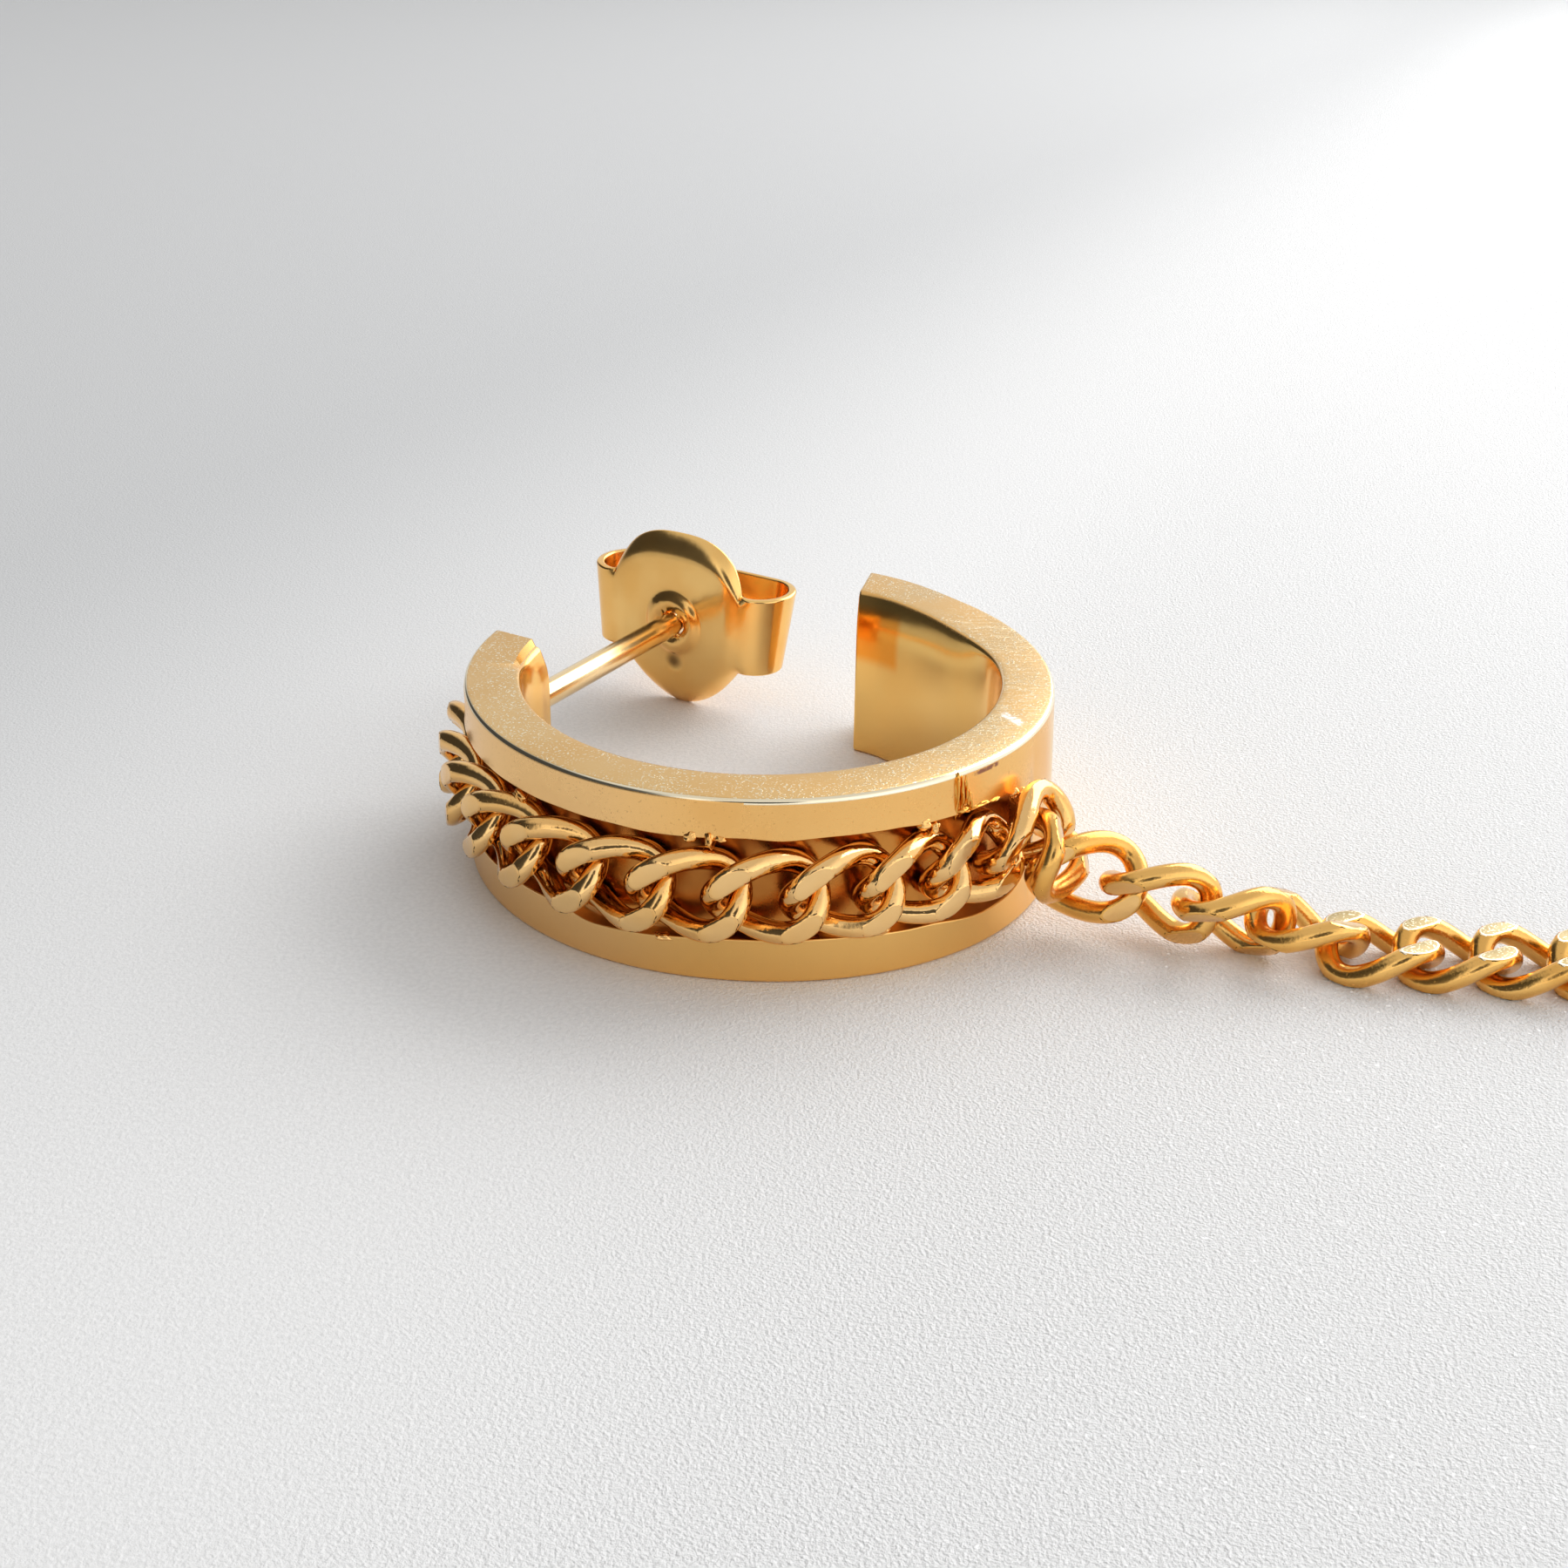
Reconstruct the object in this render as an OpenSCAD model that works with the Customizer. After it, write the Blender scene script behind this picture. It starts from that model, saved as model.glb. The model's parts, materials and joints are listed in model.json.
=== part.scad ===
// Ear chain earring: an open band with a curb chain soldered round it. The chain runs off
// the band and lies free beside it. A straight post leaves one end of the band and carries a
// butterfly ear nut. The band stands on its rim, and the chain's loose end lies flat.
// Before the last shift, the band's axis is X = Y = 0 and its lower rim is Z = 0.

/* [Band] */
// Outer diameter of the band
band_d = 18; // [15:0.5:24]
// Thickness of the band's metal
band_wall = 1.7; // [1.3:0.1:2.4]
// Width of the band, which is its height as it stands
band_w = 5.7; // [5:0.1:8]
// Bevel along the four rims of the band
rim_bevel = 0.12; // [0.05:0.01:0.25]
// Direction of the band's end that carries the post, seen from the centre
post_end_angle = 161.5; // [150:0.5:165]
// Direction of the band's plain end
plain_end_angle = 66; // [50:1:80]
// How far the plain end's face turns away from a radial cut
plain_end_skew = 11; // [0:1:15]

/* [Channel] */
// Depth of the channel that the chain is soldered into
channel_depth = 0.5; // [0.3:0.05:0.8]
// Gap between the chain and each side of the channel
channel_gap = 0.13; // [0.08:0.01:0.3]
// Gap between the chain and the channel's floor
chain_seat = 0.06; // [0.04:0.01:0.12]
// Angle from the middle of the first link to the channel's end beside the post
channel_lead = 12.5; // [12:0.5:14]
// Angle from the middle of the last tight link to the channel's other end
channel_tail = 19.5; // [19:0.5:24]

/* [Chain] */
// Distance from link to link
link_pitch = 2.13; // [2.05:0.01:2.3]
// Diameter of the links' wire
link_wire = 0.66; // [0.5:0.01:0.7]
// Free play of a link in its neighbour
link_play = 0.15; // [0.13:0.01:0.3]
// Width of a link over its wire
link_w = 2.74; // [2.5:0.02:2.9]
// How far the twist lifts each strand out of the link's middle plane
strand_lift = 0.46; // [0.44:0.01:0.6]
// Thickness of a link between its two flat-cut faces
link_thick = 1.24; // [1.1:0.02:1.6]
// Links in the channel, all tight against it
band_links = 11; // [8:1:11]
// Direction of the last tight link, after which the chain leaves the band
leave_angle = -48.3; // [-56:0.1:-47]
// Links in the flat row at the loose end
row_links = 4; // [1:1:8]

/* [Solder] */
// Radius of a solder bead on the channel's edge
bead_r = 0.26; // [0.15:0.01:0.35]

/* [Post] */
// Diameter of the ear post
post_d = 0.85; // [0.7:0.05:1]
// Length of the post from the band's end face to its tip
post_l = 11.3; // [10:0.1:13]
// How far the post turns inwards from the band's own direction at its end
post_turn = 12.5; // [0:0.5:16]
// Length of the soldered cone at the post's root
root_l = 0.5; // [0.2:0.1:0.8]
// How far that cone stands out round the post at the band
root_flare = 0.27; // [0.1:0.01:0.35]

/* [Ear nut] */
// Length of post from the outer face of the nut's plate to the tip
nut_to_tip = 2.4; // [2.3:0.1:5]
// Height of the nut's plate
plate_h = 6.2; // [5:0.1:7]
// Width of the nut's plate
plate_w = 5.2; // [4.6:0.1:5.6]
// Gap between the plate's lower edge and the surface that the earring lies on
plate_lift = 0.05; // [0.02:0.01:0.3]
// Thickness of the nut's sheet
nut_sheet = 0.28; // [0.2:0.02:0.36]
// Depth of the plate's dish
dish_depth = 0.4; // [0.2:0.05:0.6]
// Height of the two scrolls
scroll_h = 2.8; // [2:0.1:3.4]
// Radius of a scroll at the middle of its sheet
scroll_r = 0.98; // [0.8:0.02:1.1]
// Distance of a scroll's axis from the post's axis
scroll_out = 2.7; // [2.5:0.05:3]
// Radius at the scroll's end, where it bends in to grip the post
grip_r = 0.5; // [0.4:0.02:0.6]
// How far the ring round the plate's hole stands out round the post
collar_rim = 0.42; // [0.25:0.01:0.6]
// Height of that ring
collar_h = 0.45; // [0.4:0.05:0.8]
// Running clearance of the nut round the post
nut_clear = 0.06; // [0.04:0.01:0.1]

/* [Hidden] */
// The chain's way from the band down to the flat row. Each line is one link: its middle in X
// and Y from the last tight link, its height, and its heading, climb and roll in degrees
ROUTE = [
    [1.55, 1.05, 3.14, 40, 19, 108],
    [2.4, 1, 2.63, 77, -7, 66],
    [3.4, 0.85, 1.91, -3, 0, 83],
    [5.45, 0.3, 1.58, -19, -8, 116],
    [7.45, -0.35, 1.36, -6, -11, 130],
    [9.55, -0.5, 1.09, -13, -11, 167],
    [11.55, -1, 0.64, -7.5, 0, 0],
];
// Directions along the channel's edges where beads of solder sit
HIGH_BEADS = [-137, -101, -59, -36];
LOW_BEADS = [-106, -69];

band_r = band_d / 2;
inner_r = band_r - band_wall;
mid_r = band_r - band_wall / 2;
channel_r = band_r - channel_depth;
channel_w = link_w + 2 * channel_gap;
channel_low = (band_w - channel_w) / 2;
channel_high = (band_w + channel_w) / 2;

// Half length and half width of a link's centre line, and its turns into facets
half_l = (link_pitch + link_wire + link_play) / 2;
half_w = (link_w - link_wire) / 2;
loop_sides = 16;
wire_sides = 6;
chain_r = channel_r + chain_seat + link_thick / 2;
link_step = 2 * asin(link_pitch / 2 / chain_r);
first_link_angle = leave_angle - (band_links - 1) * link_step;

// How far a bead's middle lies inside the band's outer wall and back from the channel's edge
bead_sink = bead_r / 4;
bead_back = 0.6 * bead_r;

// The post leaves the middle of the end face's thickness, as high as the nut's plate needs
post_r = post_d / 2;
root_r = post_r + root_flare;
post_sink = band_wall / 3;
tip_bevel = post_r / 3;
post_dir = post_end_angle - 90 - post_turn;
post_z = plate_h / 2 + plate_lift;
post_root = [mid_r * cos(post_end_angle), mid_r * sin(post_end_angle), post_z];
nut_at = post_l - nut_to_tip;

// The sphere that the plate is pressed to
dish_r = (plate_h * plate_h / 4 + dish_depth * dish_depth) / (2 * dish_depth);
collar_r = post_r + collar_rim;
round_steps = 64;
bead_steps = 32;
dish_steps = 128;
band_steps = 180;
outline_steps = 48;
arc_steps = 14;
// Length by which a cutting solid runs past what it cuts
over = 1;

function unit(v) = v / norm(v);

// A link's centre line at angle t: an oval, twisted so that opposite quarters stand forward
function loop_point(t) =
    [half_l * cos(t), half_w * sin(t), -strand_lift * sin(2 * t)];
function loop_dir(t) =
    unit([-half_l * sin(t), half_w * cos(t), -2 * strand_lift * cos(2 * t)]);

// A point on the wire's skin, pressed flat where the link's two faces are cut
function skin_point(t, f) =
    let (
        along = loop_dir(t),
        side = unit(cross(along, [0, 0, 1])),
        rise = cross(side, along),
        p = loop_point(t) + link_wire / 2 * (cos(f) * side + sin(f) * rise)
    )
    [p.x, p.y, min(max(p.z, -link_thick / 2), link_thick / 2)];

LINK_POINTS = [
    for (i = [0:loop_sides - 1], j = [0:wire_sides - 1])
        skin_point(360 * i / loop_sides, 360 * j / wire_sides)
];
LINK_FACES = [
    for (i = [0:loop_sides - 1], j = [0:wire_sides - 1])
        let (
            i2 = (i + 1) % loop_sides,
            j2 = (j + 1) % wire_sides,
            a = i * wire_sides + j,
            b = i * wire_sides + j2,
            c = i2 * wire_sides + j2,
            d = i2 * wire_sides + j
        )
        each [[a, b, c], [a, c, d]]
];

// Turns a point by a link's roll, climb and heading, in that order
function turned(p, head, climb, roll) =
    let (
        y1 = p.y * cos(roll) - p.z * sin(roll),
        z1 = p.y * sin(roll) + p.z * cos(roll),
        x2 = p.x * cos(climb) - z1 * sin(climb),
        z2 = p.x * sin(climb) + z1 * cos(climb)
    )
    [x2 * cos(head) - y1 * sin(head), x2 * sin(head) + y1 * cos(head), z2];

// Poses of all links: round the band, down to the surface, and along it in a straight row
BAND_POSES = [
    for (i = [0:band_links - 1])
        let (t = first_link_angle + i * link_step)
        [chain_r * cos(t), chain_r * sin(t), band_w / 2, t + 90, 0, 90]
];
ROUTE_POSES = [
    for (q = ROUTE)
        [chain_r * cos(leave_angle) + q[0], chain_r * sin(leave_angle) + q[1],
         q[2], q[3], q[4], q[5]]
];
row_start = ROUTE_POSES[len(ROUTE) - 1];
ROW_POSES = [
    for (i = [1:1:row_links - 1])
        [row_start[0] + i * link_pitch * cos(row_start[3]),
         row_start[1] + i * link_pitch * sin(row_start[3]),
         row_start[2], row_start[3], 0, 0]
];
POSES = concat(BAND_POSES, ROUTE_POSES, ROW_POSES);
link_count = len(POSES);

function placed_link(n) =
    let (q = POSES[n])
    [for (p = LINK_POINTS) [q[0], q[1], q[2]] + turned(p, q[3], q[4], q[5])];
function link_name(n) = str("link_", n < 9 ? "0" : "", n + 1);

// Half of the nut's strip seen from above, as its middle line: x runs along the post and y
// away from it. It leaves the plate, turns round in a scroll and comes back to grip the post.
scroll_x = nut_sheet / 2 + scroll_r;
grip_x = scroll_x + scroll_r - grip_r;
grip_y = post_r + nut_clear + nut_sheet / 2 + grip_r;
STRIP_LINE = concat(
    [[nut_sheet / 2, collar_r]],
    [for (k = [0:arc_steps])
        let (t = -90 + 180 * k / arc_steps)
        [scroll_x + scroll_r * sin(t), scroll_out + scroll_r * cos(t)]],
    [for (k = [0:arc_steps / 2])
        let (t = 90 - 180 * k / arc_steps)
        [grip_x + grip_r * sin(t), grip_y - grip_r * cos(t)]]
);
last_strip = len(STRIP_LINE) - 1;
function strip_dir(k) =
    unit(STRIP_LINE[min(k + 1, last_strip)] - STRIP_LINE[max(k - 1, 0)]);
function strip_side(k, s) =
    let (d = strip_dir(k))
    STRIP_LINE[k] + s * nut_sheet / 2 * [-d.y, d.x];
STRIP_OUTLINE = concat(
    [for (k = [0:last_strip]) strip_side(k, 1)],
    [for (k = [last_strip:-1:0]) strip_side(k, -1)]
);

// Where a point given along the post and to its right lies, seen from above
function beside_post(p) = [
    post_root.x + p.x * cos(post_dir) + p.y * sin(post_dir),
    post_root.y + p.x * sin(post_dir) - p.y * cos(post_dir)
];
NUT_POINTS = [for (p = STRIP_OUTLINE, s = [-1, 1]) beside_post([nut_at + p.x, s * p.y])];
TIP_POINTS = [for (s = [-1, 1]) beside_post([post_l, s * (post_r - tip_bevel)])];

// The box round everything seen from above; its middle is the origin
BOX_POINTS = concat([[-band_r, 0], [band_r, 0], [0, -band_r]], NUT_POINTS, TIP_POINTS,
    [for (n = [0:link_count - 1]) each placed_link(n)]);
ALL_X = [for (p = BOX_POINTS) p.x];
ALL_Y = [for (p = BOX_POINTS) p.y];
MIDDLE = [(min(ALL_X) + max(ALL_X)) / 2, (min(ALL_Y) + max(ALL_Y)) / 2];

// The band's section, with its bevelled rims
module band_section() {
    b = rim_bevel;
    polygon([
        [inner_r + b, 0], [band_r - b, 0], [band_r, b],
        [band_r, band_w - b], [band_r - b, band_w],
        [inner_r + b, band_w], [inner_r, band_w - b], [inner_r, b]
    ]);
}

// The channel runs only as far as the chain lies on the band
module channel() {
    from = first_link_angle - channel_lead;
    rotate([0, 0, from])
        rotate_extrude(angle = leave_angle + channel_tail - from, $fn = band_steps)
            translate([channel_r, channel_low]) square([channel_depth + over, channel_w]);
}

// Takes away what lies past one end face of the band
module end_cut(at, facing) {
    reach = 3 * band_wall;
    translate([mid_r * cos(at), mid_r * sin(at), -over])
        rotate([0, 0, facing])
            translate([0, -reach, 0]) cube([reach, 2 * reach, band_w + 2 * over]);
}

module beads(directions, height) {
    for (t = directions)
        rotate([0, 0, t])
            translate([band_r - bead_sink, 0, height]) sphere(r = bead_r, $fn = bead_steps);
}

module post() {
    translate(post_root)
        rotate([0, 90, post_dir]) {
            translate([0, 0, -post_sink])
                cylinder(r = post_r, h = post_l + post_sink - tip_bevel, $fn = round_steps);
            translate([0, 0, post_l - tip_bevel])
                cylinder(r1 = post_r, r2 = post_r - tip_bevel, h = tip_bevel, $fn = round_steps);
            translate([0, 0, -post_sink])
                cylinder(r = root_r, h = post_sink, $fn = round_steps);
            cylinder(r1 = root_r, r2 = post_r, h = root_l, $fn = round_steps);
        }
}

module hoop() {
    // Degrees of band that the two end cuts take away again
    spare = 8;
    sweep = 360 + plain_end_angle - post_end_angle + 2 * spare;
    color([0.85, 0.66, 0.4]) {
        difference() {
            rotate([0, 0, post_end_angle - spare])
                rotate_extrude(angle = sweep, $fn = band_steps) band_section();
            channel();
            end_cut(post_end_angle, post_dir);
            end_cut(plain_end_angle, plain_end_angle + 90 + plain_end_skew);
        }
        beads(HIGH_BEADS, channel_high + bead_back);
        beads(LOW_BEADS, channel_low - bead_back);
        post();
    }
}

// The plate's oval outline, seen along the post
module plate_outline() {
    polygon([
        for (k = [0:outline_steps - 1])
            let (t = 360 * k / outline_steps)
            [plate_h / 2 * cos(t), plate_w / 2 * sin(t)]
    ]);
}

module plate() {
    difference() {
        intersection() {
            translate([0, 0, nut_sheet - dish_r])
                sphere(r = dish_r, $fn = dish_steps);
            translate([0, 0, -dish_depth - nut_sheet])
                linear_extrude(dish_depth + 2 * nut_sheet) plate_outline();
        }
        translate([0, 0, -dish_r]) sphere(r = dish_r, $fn = dish_steps);
    }
}

module ear_nut() {
    color([0.82, 0.6, 0.3])
        translate(post_root)
            rotate([0, 90, post_dir])
                translate([0, 0, nut_at])
                    difference() {
                        union() {
                            plate();
                            cylinder(r = collar_r, h = collar_h, $fn = round_steps);
                            for (s = [0, 180])
                                rotate([0, 0, s])
                                    translate([-scroll_h / 2, 0, 0])
                                        rotate([90, 0, 90])
                                            linear_extrude(scroll_h)
                                                polygon([for (p = STRIP_OUTLINE) [p.y, p.x]]);
                        }
                        translate([0, 0, -over])
                            cylinder(r = post_r + nut_clear, h = scroll_x + scroll_r + 2 * over,
                                $fn = round_steps);
                    }
}

module chain_link(n) {
    color([0.88, 0.66, 0.34])
        polyhedron(placed_link(n), LINK_FACES);
}

translate([-MIDDLE.x, -MIDDLE.y, 0]) {
    hoop();
    ear_nut();
    for (n = [0:link_count - 1])
        chain_link(n);
}
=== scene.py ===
import json
import math

import bmesh
import bpy
from mathutils import Matrix, Vector, noise


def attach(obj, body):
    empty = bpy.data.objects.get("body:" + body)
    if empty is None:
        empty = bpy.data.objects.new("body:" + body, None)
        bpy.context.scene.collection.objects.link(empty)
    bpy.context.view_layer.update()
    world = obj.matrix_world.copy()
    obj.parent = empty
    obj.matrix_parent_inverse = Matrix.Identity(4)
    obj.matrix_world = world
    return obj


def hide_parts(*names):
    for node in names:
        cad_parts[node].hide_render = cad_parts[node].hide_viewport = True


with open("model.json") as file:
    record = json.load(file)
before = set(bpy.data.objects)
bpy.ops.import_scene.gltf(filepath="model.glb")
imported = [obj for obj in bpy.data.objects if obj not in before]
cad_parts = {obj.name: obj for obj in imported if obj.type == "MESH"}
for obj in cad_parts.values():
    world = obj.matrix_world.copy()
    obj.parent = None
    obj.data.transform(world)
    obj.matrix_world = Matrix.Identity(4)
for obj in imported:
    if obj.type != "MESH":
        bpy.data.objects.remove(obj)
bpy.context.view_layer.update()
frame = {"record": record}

# The band: an open ring of gold-plated brass, cut from thick tube, with a channel milled round
# its outside for the chain. Its outer wall is satin, its two rims are brushed, and it was pressed
# a little out of round when it was closed to fit the ear.
mm = 0.001
band_r = 9.0
inner_r = 7.3
band_w = 5.7
mid_r = (band_r + inner_r) / 2
post_end, plain_end = 161.5, 426.0
post_dir, plain_facing = 59.0, 167.0
slant_reach = 14.0
channel_r = 8.5
channel_half = 1.5
channel_from, channel_to = 165.96, 331.2
channel_round = 9.0
band_step = 0.75
lip_burr = 0.045
# The upper and the lower edge of the channel: direction and height
HIGH_LIP = [
    (165, 4.42), (180, 4.45), (243.4, 4.47), (253.5, 4.44), (267.3, 4.52), (275, 4.45),
    (284, 4.51), (295.5, 4.49), (301, 4.43), (315.3, 4.38), (326.6, 4.19), (332, 3.93),
]
LOW_LIP = [
    (165, 1.3), (231, 1.4), (239, 1.17), (267.4, 1.4), (283, 1.39), (300, 1.3), (314.5, 1.06),
    (332, 1.3),
]
# The inner wall is worn outwards towards the upper rim: from which height, how far, and where
worn_from, worn_by, worn_power = 4.1, 0.34, 2.2
WORN = [(161.5, 1.0), (167, 1.0), (186, 0.0), (352, 0.0), (368, 0.25), (392, 0.9), (426, 1.1)]
# Near the post the inner edge of the upper rim is filed to a slope: how wide and how deep
filed_w, filed_deep = 0.27, 0.22
filed_from, filed_to = 172, 185

rim_mount = next(m for m in frame["record"]["mounts"] if m["name"] == "band_rim")
band_axis = Vector(rim_mount["pos_m"]) + Vector((0, mid_r * mm, 0))

# Where the band swells or is pressed in: direction, reach in degrees, and how far at the top
# outside, the bottom outside and the inside
SWELLS = [
    (18, 55, -0.14, -0.10, 0),
    (70, 30, 0.45, 0.45, 0),
    (-42, 62, 0, 0.32, 0),
    (30, 30, 0, 0, -0.27),
    (68, 22, 0, 0, 0.2),
]


def turned_by(angle, centre, reach):
    """1 at the centre of a swell, and 0 from its reach on."""
    off = abs((angle - centre + 180) % 360 - 180)
    if off >= reach:
        return 0
    return (1 + math.cos(math.pi * off / reach)) / 2


def eased(value, low, high):
    """0 below low, 1 above high, and a smooth step between."""
    share = min(max((value - low) / (high - low), 0), 1)
    return share * share * (3 - 2 * share)


def along(table, direction):
    """What a list of directions and values holds at one direction, eased between its lines."""
    for (low, first), (high, second) in zip(table, table[1:]):
        if direction < high:
            return first + (second - first) * eased(direction, low, high)
    return table[-1][1]


def slant(radius, end, facing):
    """Degrees from a radial cut to the real end face, at one radius."""
    reach = mid_r * math.cos(math.radians(end - facing)) / radius
    turn = math.degrees(math.acos(reach))
    side = (end - facing + 180) % 360 - 180
    return (turn if side > 0 else -turn) + facing - end + (360 if end > 360 else 0)


def new_piece(name, mesh_mm, body, finishes, replaced=(), sharp=40):
    """Puts a mesh made in millimetres, in the band's own axes, where the CAD has it."""
    bmesh.ops.remove_doubles(mesh_mm, verts=mesh_mm.verts, dist=1e-5)
    bmesh.ops.recalc_face_normals(mesh_mm, faces=mesh_mm.faces)
    bmesh.ops.scale(mesh_mm, verts=mesh_mm.verts, vec=(mm, mm, mm))
    bmesh.ops.translate(mesh_mm, verts=mesh_mm.verts, vec=band_axis)
    mesh = bpy.data.meshes.new(name)
    mesh_mm.to_mesh(mesh)
    mesh_mm.free()
    for finish in finishes:
        mesh.materials.append(finish)
    mesh.shade_smooth()
    mesh.set_sharp_from_angle(angle=math.radians(sharp))
    piece = bpy.data.objects.new(name, mesh)
    bpy.context.scene.collection.objects.link(piece)
    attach(piece, body)
    if replaced:
        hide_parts(*replaced)
    return piece


class Signal:
    """One output of a shader node. Sums and products of signals add their Math nodes."""

    def __init__(self, bench, socket):
        self.bench = bench
        self.socket = socket

    def math(self, operation, first, second=0.0):
        return self.bench.node("Math", {"operation": operation}, {0: first, 1: second})

    def __add__(self, other):
        return self.math("ADD", self, other)

    def __radd__(self, other):
        return self.math("ADD", other, self)

    def __sub__(self, other):
        return self.math("SUBTRACT", self, other)

    def __rsub__(self, other):
        return self.math("SUBTRACT", other, self)

    def __mul__(self, other):
        return self.math("MULTIPLY", self, other)

    def __rmul__(self, other):
        return self.math("MULTIPLY", other, self)

    def __pow__(self, other):
        return self.math("POWER", self, other)

    def __abs__(self):
        return self.math("ABSOLUTE", self)

    def within(self, low, high, edge):
        """1 between low and high, 0 outside, with soft edges."""
        return self.step(low - edge, low) * (1 - self.step(high, high + edge))

    def step(self, low, high):
        """0 at low, 1 at high, smooth between them."""
        return self.bench.node(
            "MapRange",
            {"interpolation_type": "SMOOTHSTEP"},
            {"Value": self, "From Min": low, "From Max": high},
        )


class Bench:
    """A node tree being wired. Its node method adds any node and returns one output."""

    def __init__(self, tree):
        self.tree = tree
        self.tree.nodes.clear()

    def node(self, kind, settings, sockets, out=0):
        made = self.tree.nodes.new("ShaderNode" + kind)
        for name, value in settings.items():
            setattr(made, name, value)
        for name, value in sockets.items():
            if isinstance(value, Signal):
                self.tree.links.new(value.socket, made.inputs[name])
            else:
                made.inputs[name].default_value = value
        return Signal(self, made.outputs[out]) if made.outputs else None

    def mixed(self, share, first, second):
        """A colour between two colours."""
        return self.node(
            "Mix", {"data_type": "RGBA"}, {0: share, 6: first, 7: second}, out=2
        )

    def place(self, scale=(1, 1, 1), turn=(0, 0, 0)):
        """Where a point of the piece lies, in millimetres."""
        spot = self.node("TexCoord", {}, {}, out=3)
        size = [1000 * s for s in scale]
        return self.node(
            "Mapping", {}, {"Vector": spot, "Rotation": turn, "Scale": size}
        )

    def round_the_band(self):
        """Direction in degrees and distance from the band's axis and height, in millimetres."""
        spot = self.node("TexCoord", {}, {}, out=3)
        spot = self.node("VectorMath", {"operation": "SUBTRACT"}, {0: spot, 1: band_axis})
        spot = self.node("VectorMath", {"operation": "MULTIPLY"}, {0: spot, 1: (1e3, 1e3, 1e3)})
        x, y, z = (self.node("SeparateXYZ", {}, {0: spot}, out=i) for i in range(3))
        return y.math("ARCTAN2", y, x) * math.degrees(1), (x * x + y * y) ** 0.5, z

    def specks(self, scale, detail=2.0, place=None):
        return self.node(
            "TexNoise",
            {},
            {"Vector": place or self.place(), "Scale": scale, "Detail": detail},
        )


def gold(name, tone, deep, roughness, wear, grain, grain_size, pits=0.0, painted_glints=0.0, mark=None):
    """Gold plate. Tone and deep are its two colours, wear how much its roughness varies, grain
    the height of its fine bumps in millimetres and grain_size how many there are in one."""
    finish = bpy.data.materials.new(name)
    finish.use_nodes = True
    bench = Bench(finish.node_tree)
    cloudy = bench.specks(0.35, 3.0).step(0.35, 0.7)
    fine = bench.specks(grain_size, 3.0)
    colour = bench.mixed(cloudy, (*tone, 1), (*deep, 1))
    rough = roughness + (cloudy - 0.5) * wear + (fine - 0.5) * wear
    height = fine * grain
    if pits:
        spots = bench.specks(14.0, 1.0).step(0.68, 0.76)
        height = height - spots * pits
        colour = bench.mixed(spots * 0.3, colour, (0.5, 0.22, 0.06, 1))
    # Painted glints: sparse specks mixed towards pale cream as a painted highlight, with a little
    # less roughness and a tiny rise.
    if painted_glints:
        bright = bench.specks(18.0, 0.0).step(0.64, 0.72) * bench.specks(0.6, 1.0).step(0.2, 0.5)
        colour = bench.mixed(bright * painted_glints, colour, (1.0, 0.95, 0.74, 1))
        height = height + bright * 0.002
        rough = rough - bright * 0.12
    if mark:
        colour, rough, height = mark(bench, colour, rough, height)
    bump = bench.node(
        "Bump", {}, {"Strength": 1.0, "Distance": mm, "Height": height}
    )
    metal = bench.node(
        "BsdfPrincipled",
        {},
        {"Base Color": colour, "Metallic": 1.0, "Roughness": rough, "Normal": bump},
    )
    bench.node("OutputMaterial", {}, {"Surface": metal})
    return finish


def scuffed(bench, colour, rough, height):
    """A dark purple scuff under the upper rim, to the right of the last solder."""
    turn, away, up = bench.round_the_band()
    scuff = turn.within(-47.4, -41.8, 0.8) * up.within(5.42, 5.5, 0.05)
    scuff = scuff * bench.specks(5.0, 3.0).step(0.3, 0.55)
    colour = bench.mixed(scuff * 0.85, colour, (0.22, 0.08, 0.08, 1))
    return colour, rough + scuff * 0.3, height


def painted_orange_reflection(bench, colour, rough, height):
    """A painted reflection: a deep orange patch inside the plain end, under its upper rim."""
    turn, away, up = bench.round_the_band()
    reflected_patch = turn.within(52, 70, 3) * up.within(3.7, 5.0, 0.5)
    colour = bench.mixed(reflected_patch * 0.85, colour, (1.0, 0.36, 0.03, 1))
    return colour, rough, height


def painted_wall_light(bench, colour, rough, height):
    """The outer wall with painted light: a lighter, warmer orange below the channel, paler at the
    right as a painted reflection, warmer at the left as painted light, and with its scuff.
    """
    turn, away, up = bench.round_the_band()
    # Painted light: the wall below the channel is made lighter, as if more light came up from the
    # floor.
    low = 1 - up.step(1.2, 1.6)
    colour = bench.mixed(low * 0.8, colour, (1.0, 0.62, 0.20, 1))
    # Painted reflection: the wall turns paler to the right, where it faces the light side of the
    # room.
    colour = bench.mixed(turn.within(-12, 4, 10) * 0.6, colour, (0.97, 0.80, 0.55, 1))
    # Painted light: the left of the wall is made warmer and lighter.
    left = (0 - turn).step(96, 125)
    colour = bench.mixed(left * 0.7, colour, (1.0, 0.65, 0.30, 1))
    return scuffed(bench, colour, rough + low * 0.06, height)


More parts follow.
